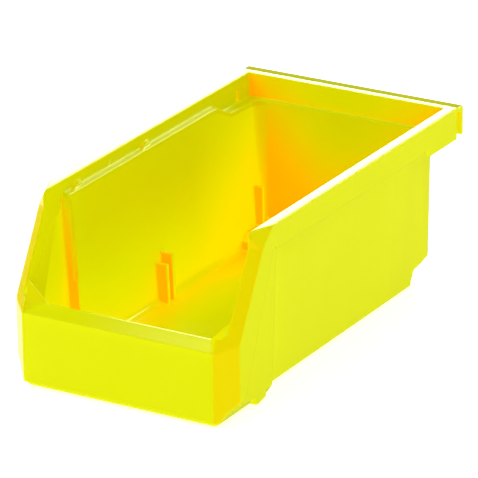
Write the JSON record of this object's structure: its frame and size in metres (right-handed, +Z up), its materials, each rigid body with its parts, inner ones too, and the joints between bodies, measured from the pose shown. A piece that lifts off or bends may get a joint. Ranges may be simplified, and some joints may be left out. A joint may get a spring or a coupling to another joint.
{
  "type": "stackable storage bin",
  "caption": "Open-topped plastic storage bin with a low hopper front, sloping side flanges, a stacking ledge inside the rim and a hook-shaped rear lip for hanging.",
  "frame": {"origin": "centre of the footprint, on the plane the bin rests on", "axes": "+X to the right seen from the front, +Y from the hopper front to the hanging lip, +Z up"},
  "size_m": [0.105, 0.1934, 0.0762],
  "materials": {
    "yellow_polypropylene": "smooth semi-gloss moulded polypropylene"
  },
  "bodies": {
    "root": {"tub_shell": "yellow_polypropylene", "front_lip": "yellow_polypropylene", "mouth_flange_right": "yellow_polypropylene", "mouth_flange_left": "yellow_polypropylene", "side_rim_right": "yellow_polypropylene", "side_rim_left": "yellow_polypropylene", "rear_rim": "yellow_polypropylene", "hanger_lip": "yellow_polypropylene", "stacking_ledge_right": "yellow_polypropylene", "stacking_ledge_left": "yellow_polypropylene", "antislide_stop_front_right": "yellow_polypropylene", "antislide_stop_front_left": "yellow_polypropylene", "antislide_stop_middle_right": "yellow_polypropylene", "antislide_stop_middle_left": "yellow_polypropylene", "front_foot_right": "yellow_polypropylene", "front_foot_left": "yellow_polypropylene", "divider_rib_front_right": "yellow_polypropylene", "divider_rib_front_left": "yellow_polypropylene", "divider_rib_rear_right": "yellow_polypropylene", "divider_rib_rear_left": "yellow_polypropylene", "corner_rib_right": "yellow_polypropylene", "corner_rib_left": "yellow_polypropylene"}
  },
  "joints": []
}
